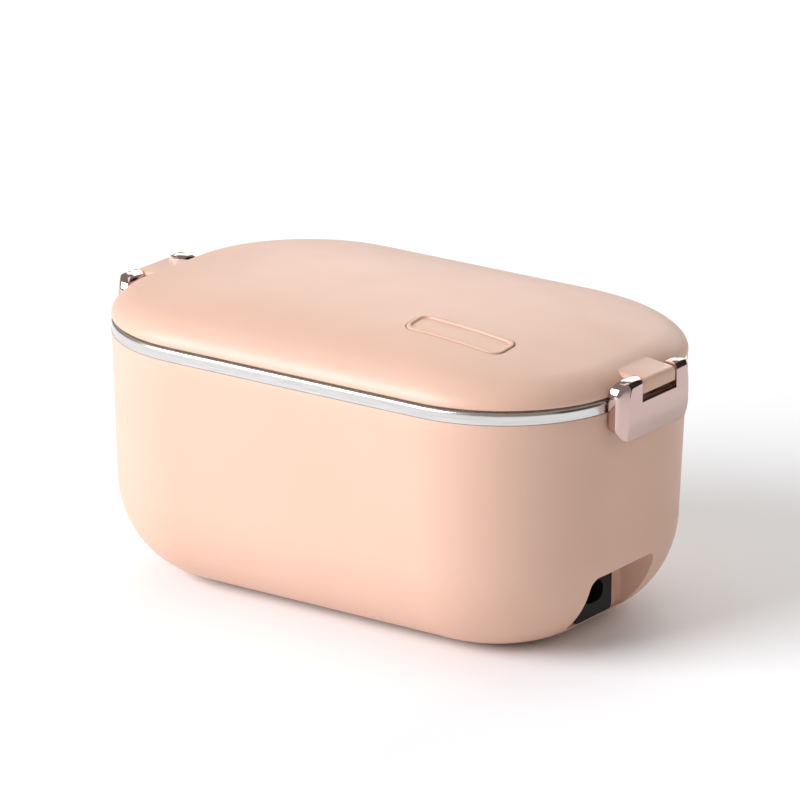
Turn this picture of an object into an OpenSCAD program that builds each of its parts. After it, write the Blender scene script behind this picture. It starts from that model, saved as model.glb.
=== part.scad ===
// Electric lunch box: a heated steel tub in a plastic body, under a lift-off lid
// that two end latches hold down. Millimetres, +Z up, origin at the middle of the
// surface it stands on, +X towards the end with the power socket.

/* [Body] */
// Length of the body over its two ends
body_l = 236; // [220:1:290]
// Width of the body over its two long sides
body_w = 148; // [136:1:180]
// Height of the body from its underside to the steel band
body_h = 102; // [84:1:125]
// Radius of the body's corners in plan
corner_r = 57; // [47:1:62]
// Thickness of the body's moulded wall
body_wall = 2.4; // [1.8:0.1:3.2]
// Slope of the body's sides, in degrees, narrower towards the base
body_draft = 2.2; // [0.5:0.1:3]
// Radius of the flat under the body at its corners; less makes the rounding under it wider
base_flat = 17.7; // [16:0.1:26]
// How far up the sides the rounding under the body reaches
base_round_h = 42; // [25:0.5:50]

/* [Steel tub] */
// Height of the bright steel band that shows between body and lid
band_h = 5.2; // [4:0.1:8]
// Thickness of the tub's sheet steel
sheet = 0.8; // [0.5:0.1:1]
// Width of the tub's rim, from the band to the mouth
tub_rim = 6; // [5:0.1:8]
// Height of the space for the heater and wiring under the tub
heater_space = 34; // [31:0.5:45]
// Radius between the tub's walls and its floor
tub_round = 13; // [8:0.5:18]

/* [Lid] */
// Gap between the steel band and the lid's edge
parting = 0.8; // [0.5:0.1:1.5]
// Thickness of the lid's moulded wall
lid_wall = 2.2; // [1.6:0.1:3]
// Height of the upright strip along the lid's edge
lid_edge = 1; // [0.8:0.1:4]
// Width of the rounded shoulder inside that strip
shoulder_w = 12; // [6:0.5:18]
// Height of the rounded shoulder
shoulder_h = 6; // [4:0.5:12]
// Height of the dome from the shoulder to the top
crown_h = 13.6; // [6:0.2:20]
// How flat the middle of the dome is: larger is flatter
crown_power = 2.65; // [2:0.05:4]
// Length of the plate set in the lid
plate_l = 46.6; // [30:0.2:56]
// Width of that plate
plate_w = 15.6; // [10:0.2:22]

/* [Latches] */
// Width of each latch over its side walls
latch_w = 53.6; // [44:0.2:62]
// Height of each latch below the lid's edge
latch_drop = 17.7; // [16.5:0.1:22]
// How far each latch stands out from the body's end
latch_out = 8; // [7.8:0.1:9]
// Thickness of the latch's front plate
latch_wall = 1.8; // [1.2:0.1:2.4]
// Width of the lid's lug that carries a latch
lug_w = 24; // [18:0.2:30]
// Radius of the hinge pins
pin_r = 1.25; // [1:0.05:1.6]

/* [Socket] */
// Width of the pocket round the power inlet
pocket_w = 45; // [36:1:52]
// Height of the top of that pocket above the body's underside
pocket_top = 32.5; // [28:0.5:33]
// Depth of that pocket, from the body's end to its back wall
pocket_depth = 19.5; // [14:0.5:24]
// Place of the pocket across the end; less is nearer the front
pocket_y = -5; // [-10:0.5:10]
// Width of the inlet's face
inlet_w = 26; // [22:0.5:30]
// Spacing of the inlet's two pins
contact_gap = 8.6; // [7.6:0.1:9.2]

/* [Containers] */
// Height of each food container
container_h = 59; // [40:1:75]
// Gap left round the food containers in the tub
container_gap = 3; // [2:0.5:6]

/* [Hidden] */
$fn = 64;

peach = [0.95, 0.80, 0.72];
steel = [0.80, 0.80, 0.80];
rose = [0.85, 0.68, 0.64];
silicone = [0.88, 0.88, 0.86];
copper = [0.80, 0.48, 0.30];

// Clearances
slack = 0.3; // between pieces of different bodies that pass or face each other
fit_gap = 0.05; // round pins, screws and contacts
seat_gap = 0.1; // between fixed pieces that locate each other

// Levels, from the ground up
foot_h = 1.2;
base_z = foot_h;
body_top = base_z + body_h;
band_top = body_top + band_h;
lid_z = band_top + parting;
tub_floor = base_z + heater_space + 2.3;

// Plan: half sizes, and the centres of the corner arcs
hx = body_l / 2;
hy = body_w / 2;
core_x = hx - corner_r;
core_y = hy - corner_r;

// Points of an elliptical arc
function arc(cx, cy, rx, ry, a0, a1, n = 8) =
    [for (i = [0:n]) let (a = a0 + (a1 - a0) * i / n) [cx + rx * cos(a), cy + ry * sin(a)]];

// Outline of a rectangle with round corners, of half sizes x and y
module round_rect(x, y, r) {
    polygon(concat(arc(x - r, y - r, r, r, 0, 90, 6), arc(r - x, y - r, r, r, 90, 180, 6),
        arc(r - x, r - y, r, r, 180, 270, 6), arc(x - r, r - y, r, r, 270, 360, 6)));
}

// Runs a wall profile round a rounded rectangle of half sizes x and y.
// In the profile, x = 0 is the outline and negative x is inside it.
module run(x, y, r) {
    for (sx = [0, 1]) mirror([sx, 0, 0])
        for (sy = [0, 1]) mirror([0, sy, 0])
            translate([x - r, y - r, 0]) rotate_extrude(angle = 90) translate([r, 0]) children();
    for (s = [0, 1]) mirror([s, 0, 0])
        translate([x, y - r, 0]) rotate([90, 0, 0]) linear_extrude(2 * (y - r)) children();
    for (s = [0, 1]) mirror([0, s, 0])
        translate([r - x, y, 0]) rotate([90, 0, 90]) linear_extrude(2 * (x - r)) children();
}

// The same for a profile that reaches the middle: it adds the core between the corner centres
module filled_run(x, y, r, z0, z1) {
    run(x, y, r) children();
    translate([r - x, r - y, z0]) cube([2 * (x - r), 2 * (y - r), z1 - z0]);
}

// A flat plate with rounded corners
module slab(x, y, r, z0, z1) {
    filled_run(x, y, r, z0, z1) translate([-r, z0]) square([r, z1 - z0]);
}

// ---------------------------------------------------------------- body

drop = (body_h - base_round_h) * tan(body_draft);
base_in = corner_r - base_flat;
base_round_w = base_in - drop;
cover_r = base_flat - 3;
ledge_r = cover_r - 4.5;
ledge_h = 2.2;
ledge_t = 2.4;
upstand_z = band_top - sheet - 1;
upstand_in = sheet + 0.6;

body_outside = concat([[0, body_top]],
    arc(-base_in, base_z + base_round_h, base_round_w, base_round_h, 0, -90, 12));
body_inside = concat(
    arc(-base_in, base_z + base_round_h, base_round_w - body_wall, base_round_h - body_wall, -90, 0, 12),
    [[-body_wall - 0.4, body_top - 9], [-upstand_in - body_wall, body_top - 5],
     [-upstand_in - body_wall, upstand_z], [-upstand_in, upstand_z], [-upstand_in, body_top]]);

module body_profile() {
    polygon(concat(body_outside,
        [[cover_r + 0.3 - corner_r, base_z], [cover_r + 0.3 - corner_r, base_z + ledge_h],
         [ledge_r - corner_r, base_z + ledge_h], [ledge_r - corner_r, base_z + ledge_h + ledge_t],
         [-base_in - 1, base_z + ledge_h + ledge_t], [-base_in - 1, base_z + body_wall]],
        body_inside));
}

module body_envelope() {
    filled_run(hx, hy, corner_r, base_z, body_top)
        polygon(concat(body_outside, [[-corner_r, base_z], [-corner_r, body_top]]));
}

// Screw bosses stand on the ledge round the base opening
screw_x = core_x * 0.62;
screw_y = core_y + ledge_r - 0.8;
module at_screws() {
    for (x = [-screw_x, screw_x], y = [-screw_y, screw_y]) translate([x, y, 0]) children();
}

pocket_back = hx - pocket_depth;
pocket_floor = base_z + 8.4;
pocket_ceiling = base_z + pocket_top;
pocket_corner = 7;
pocket_draft = 2.3; // how much nearer each side wall of the pocket is at its back

// Outline of the pocket, seen from the end, grown by g
module pocket_outline(g) {
    w = pocket_w / 2 + g;
    c = pocket_corner + g;
    z0 = pocket_floor - g;
    z1 = pocket_ceiling + g;
    polygon(concat([[-w, z0], [w, z0]],
        arc(w - c, z1 - c, c, c, 0, 90, 8), arc(c - w, z1 - c, c, c, 90, 180, 8)));
}

module pocket_block(g, x0, x1) {
    w = pocket_w / 2 + g;
    translate([0, pocket_y, 0]) intersection() {
        translate([x0, 0, 0]) rotate([90, 0, 90]) linear_extrude(x1 - x0) pocket_outline(g);
        linear_extrude(pocket_ceiling + 10)
            polygon([[x0, pocket_draft - w], [hx, -w], [x1, -w], [x1, w], [hx, w], [x0, w - pocket_draft]]);
    }
}

// Catch ridge under the band, for a latch's nose
ridge_out = 2;
ridge_w = 24;
ridge_z = body_top - 5.6;
module catch_ridge() {
    translate([0, ridge_w / 2, 0]) rotate([90, 0, 0]) linear_extrude(ridge_w)
        polygon([[hx - 1.6, ridge_z - 0.4], [hx + ridge_out - 0.4, ridge_z],
            [hx + ridge_out, ridge_z + 0.5], [hx + ridge_out, ridge_z + 1.4],
            [hx + 0.3, ridge_z + 4.2], [hx - 1.6, ridge_z + 4.2]]);
}

inlet_z = pocket_floor + 9.6;
plug_z = inlet_z + 0.7;
window_w = 20;
window_h = 15;

module outer_body() {
    color(peach) difference() {
        union() {
            run(hx, hy, corner_r) body_profile();
            intersection() {
                body_envelope();
                pocket_block(body_wall, pocket_back - body_wall, hx + 5);
            }
            catch_ridge();
            mirror([1, 0, 0]) catch_ridge();
            at_screws() translate([0, 0, base_z + ledge_h]) cylinder(r = 3.6, h = 11);
        }
        pocket_block(0, pocket_back, hx + 6);
        translate([pocket_back - 5, pocket_y - window_w / 2, inlet_z - window_h / 2])
            cube([10, window_w, window_h]);
        at_screws() translate([0, 0, base_z + ledge_h - 1]) cylinder(r = screw_r + fit_gap, h = 10.5);
    }
}

// ---------------------------------------------------------------- base

cover_t = 2;
screw_r = 1.45;
head_r = 2.8;
foot_r = 7;
foot_x = core_x - 1;
foot_y = core_y - 1;
module at_feet() {
    for (x = [-foot_x, foot_x], y = [-foot_y, foot_y]) translate([x, y, 0]) children();
}

module base_cover() {
    color(peach) difference() {
        union() {
            slab(core_x + cover_r, core_y + cover_r, cover_r, base_z, base_z + cover_t);
            // Rib that stands up inside the base opening
            run(core_x + ledge_r - slack, core_y + ledge_r - slack, ledge_r - slack)
                translate([-1.6, base_z + cover_t - 0.2]) square([1.6, 4]);
        }
        at_feet() translate([0, 0, base_z - 1]) cylinder(r = foot_r + 0.2, h = 2);
        at_screws() {
            translate([0, 0, base_z - 1]) cylinder(r = screw_r + 0.25, h = cover_t + 2);
            translate([0, 0, base_z - 1]) cylinder(r = head_r + 0.3, h = 1.9);
            // Room for the screw boss in the rib
            translate([0, 0, base_z + cover_t]) cylinder(r = 3.6 + slack, h = 6);
        }
    }
}

module base_screws() {
    color(steel) at_screws() difference() {
        union() {
            translate([0, 0, base_z + 0.15]) cylinder(r = head_r, h = 0.75);
            translate([0, 0, base_z + 0.5]) cylinder(r = screw_r, h = 10);
        }
        for (a = [0, 90]) rotate(a) translate([-1.8, -0.3, base_z - 0.4]) cube([3.6, 0.6, 1]);
    }
}

module rubber_feet() {
    color([0.35, 0.33, 0.33]) at_feet() rotate_extrude()
        polygon([[0, 0], [foot_r - 1.2, 0], [foot_r - 0.4, 0.4], [foot_r, foot_h],
            [foot_r, base_z + 1], [0, base_z + 1]]);
}

// ---------------------------------------------------------------- tub

bend = 1.4;
bead = 0.3;
tub_slope = 0.8;
stud_x = [-46, 28];
stud_y = 24;
stud_r = 2;
stud_end = 11;
module at_studs() {
    for (x = stud_x, y = [-stud_y, stud_y]) translate([x, y, 0]) children();
}

module tub_profile() {
    inner = tub_rim + tub_slope;
    polygon(concat(
        // Outside of the band, the bead over it, the mouth and down the inside
        [[-bead, body_top + 0.2], [-bead, band_top - bend - 0.2]],
        arc(-bend, band_top - bend, bend, bend, 0, 90, 6),
        arc(bend - tub_rim, band_top - bend, bend, bend, 90, 180, 6),
        arc(-inner - tub_round, tub_floor + tub_round, tub_round, tub_round, 0, -90, 8),
        [[-corner_r, tub_floor], [-corner_r, tub_floor - sheet]],
        // Back along the underside, up the outside and down behind the band
        arc(-inner - tub_round, tub_floor + tub_round, tub_round + sheet, tub_round + sheet, -90, 0, 8),
        arc(bend - tub_rim, band_top - bend, bend - sheet, bend - sheet, 180, 90, 6),
        arc(-bend, band_top - bend, bend - sheet, bend - sheet, 90, 0, 6),
        [[-bead - sheet, band_top - bend - 0.2], [-bead - sheet, body_top + 0.2]]));
}

module steel_tub() {
    color(steel) {
        filled_run(hx, hy, corner_r, tub_floor - sheet, tub_floor) tub_profile();
        at_studs() translate([0, 0, tub_floor - sheet - stud_end]) cylinder(r = stud_r, h = stud_end + 0.2);
    }
}

module tub_gasket() {
    color(silicone) run(hx, hy, corner_r)
        polygon([[-upstand_in - 0.1, upstand_z], [-upstand_in - 0.1, upstand_z + 0.7],
            [-upstand_in - 0.4, upstand_z + 1], [-upstand_in - body_wall, upstand_z + 1],
            [-upstand_in - body_wall - 0.2, upstand_z + 0.8], [-upstand_in - body_wall - 0.2, upstand_z - 1.6],
            [-upstand_in - body_wall, upstand_z - 1.6], [-upstand_in - body_wall, upstand_z]]);
}

// ---------------------------------------------------------------- heater

hot_z = tub_floor - sheet - 0.1;
plate_t = 6;
plate_x = [-56, 38];
plate_hy = 31;
element_r = 3.4;
element_y = 14;
element_back = -36;
element_end = 46;
element_z = hot_z - plate_t;

// The heating element's hairpin, as a solid of radius r
module hairpin(r) {
    for (y = [-element_y, element_y])
        translate([element_back, y, element_z]) rotate([0, 90, 0])
            cylinder(r = r, h = element_end - element_back);
    translate([element_back, 0, element_z]) rotate(90) rotate_extrude(angle = 180)
        translate([element_y, 0]) circle(r = r);
}

module heating_plate() {
    mid = (plate_x[0] + plate_x[1]) / 2;
    half = (plate_x[1] - plate_x[0]) / 2;
    color([0.75, 0.76, 0.78]) difference() {
        union() {
            translate([mid, 0, 0]) slab(half, plate_hy, 10, element_z, hot_z);
            // Cast rib that carries the hairpin
            for (y = [-element_y, element_y])
                translate([element_back, y - element_r - 2, element_z - 2])
                    cube([plate_x[1] - element_back - 4, 2 * element_r + 4, 2.2]);
            translate([element_back, 0, element_z - 2]) rotate(90) rotate_extrude(angle = 180)
                translate([element_y - element_r - 2, 0]) square([2 * element_r + 4, 2.2]);
        }
        hairpin(element_r + fit_gap);
        at_studs() translate([0, 0, element_z - 1]) cylinder(r = stud_r + 0.3, h = plate_t + 2);
        // Threads for the thermostat's and the clip's screws
        for (x = [-flange_x, flange_x]) translate([x, 0, element_z - 1]) cylinder(r = 1.25 + fit_gap, h = 5);
        translate([fuse_x, clip_y, element_z - 1]) cylinder(r = 1.25 + fit_gap, h = 5);
    }
}

module heating_element() {
    color([0.45, 0.46, 0.47]) {
        hairpin(element_r);
        for (y = [-element_y, element_y]) {
            translate([element_end - 0.2, y, element_z]) rotate([0, 90, 0]) cylinder(r = 2.2, h = 3.2);
            translate([element_end + 2.8, y, element_z]) rotate([0, 90, 0]) cylinder(r = 1.2, h = 7.2);
        }
    }
}

module plate_nuts() {
    color(steel) at_studs() translate([0, 0, element_z - 3.3]) difference() {
        union() {
            translate([0, 0, 2.5]) cylinder(r = 4.4, h = 0.8);
            cylinder(r = 3.9, h = 2.6, $fn = 6);
        }
        translate([0, 0, -1]) cylinder(r = stud_r + fit_gap, h = 6);
    }
}

flange_x = 12;
flange_t = 0.8;
thermo_z = element_z - flange_t;
module thermostat() {
    color([0.30, 0.22, 0.18]) difference() {
        union() {
            translate([0, 0, thermo_z]) cylinder(r = 8, h = flange_t);
            translate([-flange_x - 3, -3, thermo_z]) cube([2 * flange_x + 6, 6, flange_t]);
            translate([0, 0, thermo_z - 9.8]) cylinder(r = 7.6, h = 10);
            for (y = [-4, 4]) translate([-3.15, y - 0.4, thermo_z - 18]) cube([6.3, 0.8, 8.4]);
        }
        for (x = [-flange_x, flange_x]) translate([x, 0, thermo_z - 1]) cylinder(r = 1.6, h = 3);
    }
}

module thermostat_screws() {
    color(steel) for (x = [-flange_x, flange_x]) translate([x, 0, 0]) {
        translate([0, 0, thermo_z - 1.9]) cylinder(r = 2.4, h = 1.8);
        translate([0, 0, thermo_z - 0.2]) cylinder(r = 1.25, h = 4.6);
    }
}

fuse_x = 27;
fuse_r = 2;
fuse_l = 10;
fuse_z = element_z - fuse_r - 0.1;
clip_y = 5.6;
module thermal_fuse() {
    color([0.85, 0.84, 0.80]) {
        translate([fuse_x - fuse_l / 2, 0, fuse_z]) rotate([0, 90, 0]) cylinder(r = fuse_r, h = fuse_l);
        translate([fuse_x - fuse_l / 2 - 4, 0, fuse_z]) rotate([0, 90, 0]) cylinder(r = 0.5, h = fuse_l + 8);
    }
}

// A strap bent under the fuse, with a screw at its one foot
module fuse_clip() {
    color(steel) difference() {
        union() {
            translate([fuse_x - 3, 0, 0]) rotate([90, 0, 90]) linear_extrude(6) difference() {
                union() {
                    translate([0, fuse_z]) circle(r = fuse_r + 0.9);
                    translate([0, element_z - 0.9]) square([clip_y + 3, 0.8]);
                    translate([-fuse_r - 0.9, fuse_z]) square([2 * (fuse_r + 0.9), fuse_r]);
                }
                translate([0, fuse_z]) circle(r = fuse_r + 0.1);
                translate([-fuse_r - 0.1, fuse_z]) square([2 * (fuse_r + 0.1), fuse_r + 2]);
            }
            translate([fuse_x, clip_y, element_z - 2.6]) cylinder(r = 2.2, h = 1.8);
            translate([fuse_x, clip_y, element_z - 1]) cylinder(r = 1.25, h = 4.5);
        }
        translate([fuse_x - 1.6, clip_y - 0.25, element_z - 3]) cube([3.2, 0.5, 0.9]);
    }
}

// ---------------------------------------------------------------- inlet and wiring

inlet_y = pocket_y - 0.8;
inlet_face = 2;
inlet_back = pocket_back - 14;
face_h = 19;
recess_d = 12;
recess_hw = 6.8;
recess_r = 4.4;

module power_inlet() {
    color([0.07, 0.07, 0.07]) difference() {
        union() {
            translate([pocket_back + seat_gap, inlet_y, inlet_z]) rotate([90, 0, 90])
                linear_extrude(inlet_face) round_rect(inlet_w / 2, face_h / 2, 2);
            translate([inlet_back, pocket_y - window_w / 2 + seat_gap, inlet_z - window_h / 2 + seat_gap])
                cube([pocket_back + 1 - inlet_back, window_w - 2 * seat_gap, window_h - 2 * seat_gap]);
            // Snap-in wedges behind the wall
            for (s = [-1, 1]) translate([0, pocket_y + s * (window_w / 2 - seat_gap - 0.2), inlet_z - 3])
                linear_extrude(6)
                    polygon([[pocket_back - body_wall - 0.1, 0], [pocket_back - body_wall - 0.1, s * 1.4],
                        [pocket_back - body_wall - 6, 0]]);
        }
        // The oval recess that takes the lead's plug
        translate([pocket_back + inlet_face + seat_gap - recess_d, inlet_y, plug_z]) rotate([90, 0, 90])
            linear_extrude(recess_d + 1) {
                for (s = [-1, 1]) translate([s * (recess_hw - recess_r), 0]) circle(r = recess_r);
                square([2 * (recess_hw - recess_r), 2 * recess_r], center = true);
            }
        for (s = [-1, 1]) translate([inlet_back - 1, inlet_y + s * contact_gap / 2, plug_z])
            rotate([0, 90, 0]) cylinder(r = 1.2 + fit_gap, h = 14);
    }
}

module inlet_contacts() {
    color([0.85, 0.75, 0.45]) for (s = [-1, 1]) translate([0, inlet_y + s * contact_gap / 2, plug_z]) {
        translate([inlet_back - 2, 0, 0]) rotate([0, 90, 0]) cylinder(r = 1.2, h = 13.4);
        translate([inlet_back - 9, -0.4, -2]) cube([7.4, 0.8, 4]);
    }
}

// A wire along a list of points: one closed tube of eight sides
wire_r = 1.1;
module wire(path) {
    n = len(path);
    m = 8;
    function heading(i) = let (d = path[min(i + 1, n - 1)] - path[max(i - 1, 0)]) d / norm(d);
    function side(t) = let (u = cross(t, abs(t.z) > 0.9 ? [1, 0, 0] : [0, 0, 1])) u / norm(u);
    points = [for (i = [0:n - 1]) let (t = heading(i), u = side(t), v = cross(u, t))
        for (k = [0:m - 1]) path[i] + wire_r * (cos(360 * k / m) * u + sin(360 * k / m) * v)];
    faces = concat([[for (k = [0:m - 1]) k]],
        [for (i = [0:n - 2]) for (k = [0:m - 1]) [i * m + k, (i + 1) * m + k, (i + 1) * m + (k + 1) % m]],
        [for (i = [0:n - 2]) for (k = [0:m - 1]) [i * m + k, (i + 1) * m + (k + 1) % m, i * m + (k + 1) % m]],
        [[for (k = [m - 1:-1:0]) (n - 1) * m + k]]);
    polyhedron(points, faces);
}

// Point at t, from 0 to 1, of a curve that leaves a along va and reaches b along vb
function bezier(a, va, vb, b, t) =
    pow(1 - t, 3) * a + 3 * t * pow(1 - t, 2) * (a + va) + 3 * t * t * (1 - t) * (b + vb) + pow(t, 3) * b;
function lead(a, va, vb, b, n) = [for (i = [0:n]) bezier(a, va, vb, b, i / n)];

tab_x = inlet_back - 9.2;
fuse_end = fuse_x + fuse_l / 2 + 4.2;
element_tip = element_end + 10.2;
tab_z = thermo_z - 18.2;

module live_wire() {
    color([0.55, 0.25, 0.15]) wire(lead([tab_x, inlet_y + contact_gap / 2, plug_z], [-14, 0, 0],
        [12, 0, 0], [fuse_end, 0, fuse_z], 12));
}

module neutral_wire() {
    color([0.20, 0.35, 0.65]) wire(lead([tab_x, inlet_y - contact_gap / 2, plug_z], [-10, 0, 0],
        [8, 0, 0], [element_tip, -element_y, element_z], 10));
}

module link_wires() {
    color([0.85, 0.84, 0.80]) {
        wire(concat(lead([fuse_x - fuse_l / 2 - 4.2, 0, fuse_z], [-2.5, 0, 0], [0, 0, -11],
            [0, 4, tab_z - 1.5], 12), [[0, 4, tab_z]]));
        wire(concat([[0, -4, tab_z]], lead([0, -4, tab_z - 1.5], [0, 0, -8], [24, 0, 0],
            [element_tip, element_y, element_z], 15)));
    }
}

// ---------------------------------------------------------------- lid

// Distance from the middle to the outline, in the direction a
function reach(a) =
    let (c = max(abs(cos(a)), 1e-6), s = max(abs(sin(a)), 1e-6), b = c * core_x + s * core_y)
    hx / c * s <= core_y ? hx / c
        : hy / s * c <= core_x ? hy / s
        : b + sqrt(b * b - core_x * core_x - core_y * core_y + corner_r * corner_r);

// Height of the dome at a point of the plan, and of the lid's outside
function crown(p) = crown_h * (1 - pow(min(1, norm(p) / reach(atan2(p.y, p.x))), crown_power));
function inward(p) = corner_r - norm([max(abs(p.x) - core_x, 0), max(abs(p.y) - core_y, 0)]);
function shoulder(d) = shoulder_h * sqrt(1 - pow(1 - min(max(d, 0), shoulder_w) / shoulder_w, 2));
function lid_top(p) = lid_z + lid_edge + shoulder(inward(p)) + crown(p);

// Points round the outline, set in by d: corners in steps, and stretches between them
corner_steps = 10;
function corner_points(q, d) =
    let (sx = q == 0 || q == 3 ? 1 : -1, sy = q < 2 ? 1 : -1)
    [for (i = [0:corner_steps]) let (a = 90 * (q + i / corner_steps))
        [sx * core_x + (corner_r - d) * cos(a), sy * core_y + (corner_r - d) * sin(a)]];
function stretch(a, b, n) = [for (i = [1:n - 1]) a + (b - a) * i / n];
function outline(d) =
    let (c = [for (q = [0:3]) corner_points(q, d)], e = corner_steps)
    concat(c[0], stretch(c[0][e], c[1][0], 8), c[1], stretch(c[1][e], c[2][0], 3),
        c[2], stretch(c[2][e], c[3][0], 8), c[3], stretch(c[3][e], c[0][0], 3));

function lift(ring, z) = [for (p = ring) [p.x, p.y, z]];
function drape(ring, down) = [for (p = ring) [p.x, p.y, lid_top(p) - down]];

// The lid's hollow shell, as a loft through rings of the outline
module dome_shell() {
    edge_r = 0.8;
    outer = concat(
        [for (a = [0, 45]) lift(outline(edge_r * (1 - sin(a))), lid_z + edge_r * (1 - cos(a)))],
        [for (a = [0:15:90]) drape(outline(shoulder_w * (1 - cos(a))), 0)],
        [for (k = [0.92, 0.82, 0.7, 0.56, 0.4, 0.22, 0.08]) drape(k * outline(shoulder_w), 0)]);
    inner = concat(
        [for (k = [0.08, 0.3, 0.5, 0.7, 0.86]) drape(k * outline(shoulder_w), lid_wall)],
        [for (a = [90:-18:0]) let (d = lid_wall + (shoulder_w - lid_wall) * (1 - cos(a)))
            [for (p = outline(d)) [p.x, p.y, lid_z + lid_edge + (shoulder_h - lid_wall) * sin(a) + crown(p)]]],
        [lift(outline(lid_wall), lid_z)]);
    rings = concat(outer, inner);
    m = len(rings[0]);
    top = m * len(rings);
    last = len(rings) - 1;
    points = concat([for (r = rings) each r], [[0, 0, lid_top([0, 0])], [0, 0, lid_top([0, 0]) - lid_wall]]);
    function band(i, j) = [for (k = [0:m - 1]) each let (n = (k + 1) % m)
        [[i * m + k, j * m + k, j * m + n], [i * m + k, j * m + n, i * m + n]]];
    tip = len(outer) - 1;
    polyhedron(points, concat(
        [for (i = [0:tip - 1]) each band(i, i + 1)],
        [for (k = [0:m - 1]) [tip * m + k, top, tip * m + (k + 1) % m]],
        [for (k = [0:m - 1]) [(tip + 1) * m + (k + 1) % m, top + 1, (tip + 1) * m + k]],
        [for (i = [tip + 1:last - 1]) each band(i, i + 1)],
        band(last, 0)));
}

// Place and tilt of the plate set in the lid, tangent to the dome
plate_at = [core_x * 0.89, -core_y - 17.7];
plate_tilt = [
    atan2(lid_top(plate_at + [0, 6]) - lid_top(plate_at - [0, 6]), 12),
    -atan2(lid_top(plate_at + [15, 0]) - lid_top(plate_at - [15, 0]), 30)];
plate_sink = 1;
plate_t2 = 1.5;
module on_plate() {
    translate([plate_at.x, plate_at.y, lid_top(plate_at)]) rotate([plate_tilt[0], plate_tilt[1], 0]) children();
}

// Hinge of a latch: a lug on the lid's end, with the pin's axis across it
ear_r = 4;
front_x = hx + latch_out;
pin_x = front_x - ear_r;
pin_z = lid_z + 3;
lug_back = 4.6;
module lug() {
    top = lid_top([hx - lug_back, 0]);
    round_r = 1.6;
    translate([0, lug_w / 2, 0]) rotate([90, 0, 0]) linear_extrude(lug_w)
        polygon(concat([[hx - 1.4, lid_z], [front_x, lid_z]],
            arc(front_x - round_r, pin_z + 3 - round_r, round_r, round_r, 0, 80, 6),
            [[hx - lug_back, top], [hx - lug_back, top - 1], [hx - 1.4, lid_z + 2.6]]));
}

module lid_shell() {
    color(peach) difference() {
        union() {
            dome_shell();
            lug();
            mirror([1, 0, 0]) lug();
        }
        on_plate() translate([0, 0, -plate_sink])
            slab(plate_l / 2 + seat_gap, plate_w / 2 + seat_gap, 5 + seat_gap, 0, 6);
        for (s = [-1, 1]) translate([s * pin_x, lug_w, pin_z]) rotate([90, 0, 0])
            cylinder(r = pin_r + 0.02, h = 2 * lug_w);
    }
}

module name_plate() {
    border = 1.7;
    color([0.94, 0.79, 0.70]) on_plate() translate([0, 0, -plate_sink]) difference() {
        slab(plate_l / 2, plate_w / 2, 5, 0, plate_t2);
        slab(plate_l / 2 - border, plate_w / 2 - border, 5 - border, plate_t2 - 0.5, plate_t2 + 1);
    }
}

// Inner lid: a tray whose skirt hangs into the tub's mouth
liner_t = 1.6;
liner_top = lid_z + 2.6;
seal_h = 1.9;
skirt_in = tub_rim + 0.9;
skirt_z = band_top - 3.2;
module lid_liner() {
    color([0.93, 0.90, 0.87]) filled_run(hx, hy, corner_r, skirt_z, skirt_z + liner_t)
        polygon(concat([[-lid_wall - 1.1, liner_top], [-lid_wall - 0.3, liner_top - liner_t],
            [-skirt_in, liner_top - liner_t]],
            arc(-skirt_in - 1.6, skirt_z + 1.6, 1.6, 1.6, 0, -90, 4),
            [[-corner_r, skirt_z], [-corner_r, skirt_z + liner_t]],
            arc(-skirt_in - 3.2, skirt_z + 3.2, 1.6, 1.6, -90, 0, 4),
            [[-skirt_in - 1.6, liner_top]]));
}

module lid_seal() {
    z1 = liner_top - liner_t - seat_gap;
    z0 = band_top + slack;
    color(silicone) run(hx, hy, corner_r)
        polygon([[-lid_wall - 0.7, z1], [-lid_wall - 0.7, z0 + 0.9], [-lid_wall - 1.4, z0], [-lid_wall - 2.4, z0],
            [-lid_wall - 3, z0 + 0.9], [-skirt_in + 0.2, z0 + 1.2], [-skirt_in + 0.2, z1]]);
}

// ---------------------------------------------------------------- latches

module hinge_pin() {
    l = latch_w - 10;
    color(steel) translate([pin_x, l / 2, pin_z]) rotate([90, 0, 0]) cylinder(r = pin_r, h = l);
}

latch_z = lid_z - latch_drop;
slot_z = lid_z - 3.3;
slot_w = lug_w + 0.8;
back_x = hx + 0.5;

// The latch seen along the end, from above, and from the end set in by g
module latch_side() {
    translate([pin_x, pin_z]) circle(r = ear_r);
    polygon([[back_x, pin_z], [back_x, latch_z + 4.5], [front_x - 3.4, latch_z],
        [front_x - 2, latch_z + 0.2], [front_x - 1.3, latch_z + 1], [front_x - 0.9, latch_z + 3],
        [front_x - 0.3, latch_z + 5.4], [front_x, latch_z + 8], [front_x, pin_z]]);
}

module latch_plan() {
    w = latch_w / 2;
    polygon(concat([[hx - 1, -w]], arc(front_x - 3.6, 5.5 - w, 3.6, 5.5, -90, 0, 6),
        arc(front_x - 3.6, w - 5.5, 3.6, 5.5, 0, 90, 6), [[hx - 1, w]]));
}

module latch_front(g) {
    high_r = 9;
    low_r = 4;
    x = latch_w / 2;
    z0 = latch_z + low_r;
    z1 = pin_z + ear_r - high_r;
    polygon(concat(arc(x - high_r, z1, high_r - g, high_r - g, 0, 90, 8),
        arc(high_r - x, z1, high_r - g, high_r - g, 90, 180, 8),
        arc(low_r - x, z0, low_r - g, low_r - g, 180, 270, 6),
        arc(x - low_r, z0, low_r - g, low_r - g, 270, 360, 6)));
}

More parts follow.
